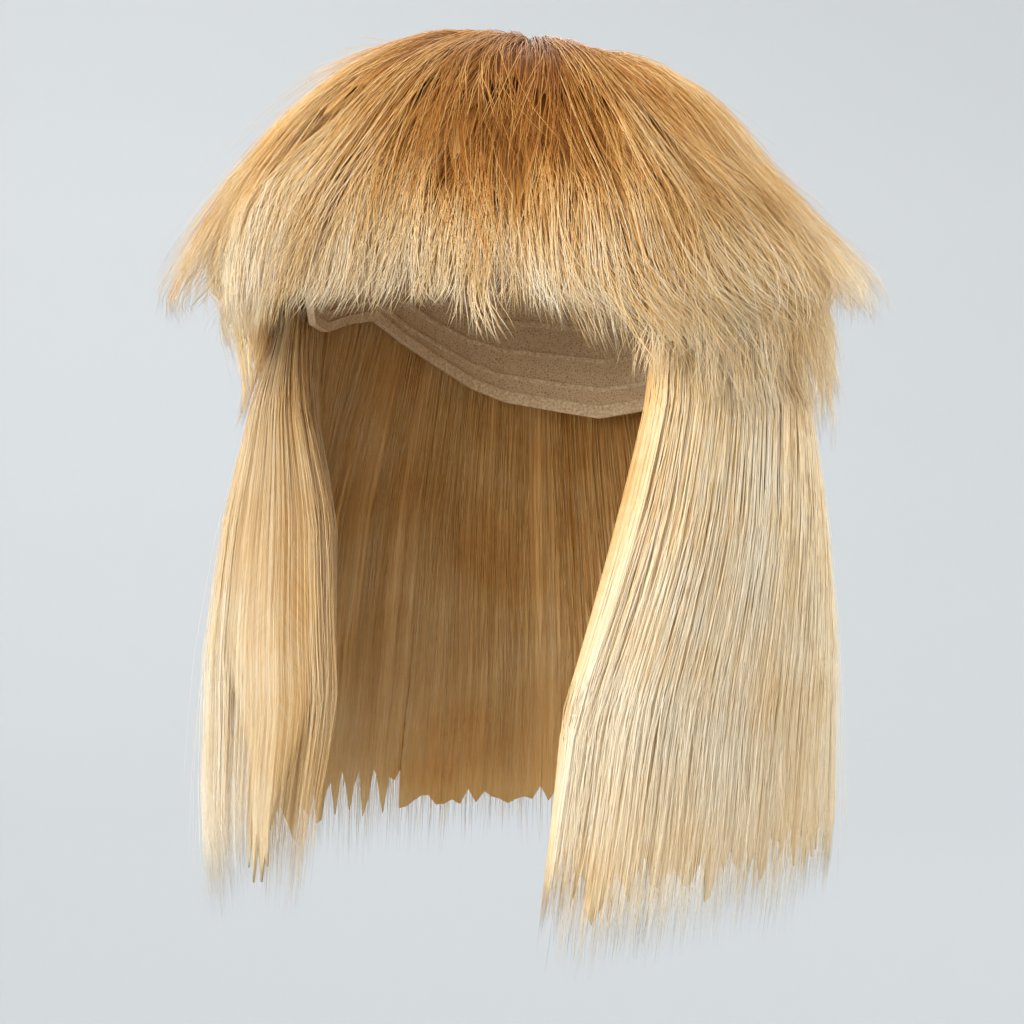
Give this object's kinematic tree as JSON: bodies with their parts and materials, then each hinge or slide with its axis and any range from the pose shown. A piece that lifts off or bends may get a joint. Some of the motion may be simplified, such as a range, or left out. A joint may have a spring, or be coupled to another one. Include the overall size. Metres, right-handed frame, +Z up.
{
  "type": "mullet wig",
  "caption": "Blond mullet wig on a stretch cap, with a shaggy crown, a fringe, flicked side layers and long straight hair that hangs round the neck.",
  "frame": {"origin": "inside top of the cap, where the crown of the wearer's head touches it", "axes": "+Z up, the face looks along -Y, the wearer's left is +X"},
  "size_m": [0.2755, 0.2503, 0.3539],
  "materials": {
    "cap_net": "matt elastic net",
    "crown_hair": "satin fibre, amber at the roots",
    "fringe_hair": "satin fibre",
    "layer_hair": "satin fibre",
    "length_hair": "satin fibre, cream towards the ends"
  },
  "bodies": {
    "root": {"cap_crown": "cap_net", "cap_sides": "cap_net", "crown_hair": "crown_hair", "fringe": "fringe_hair", "left_upper_layer": "layer_hair", "back_upper_layer": "layer_hair", "right_upper_layer": "layer_hair", "left_lower_layer": "layer_hair", "back_lower_layer": "layer_hair", "right_lower_layer": "layer_hair", "left_length": "length_hair", "back_length": "length_hair", "right_length": "length_hair"}
  },
  "joints": []
}
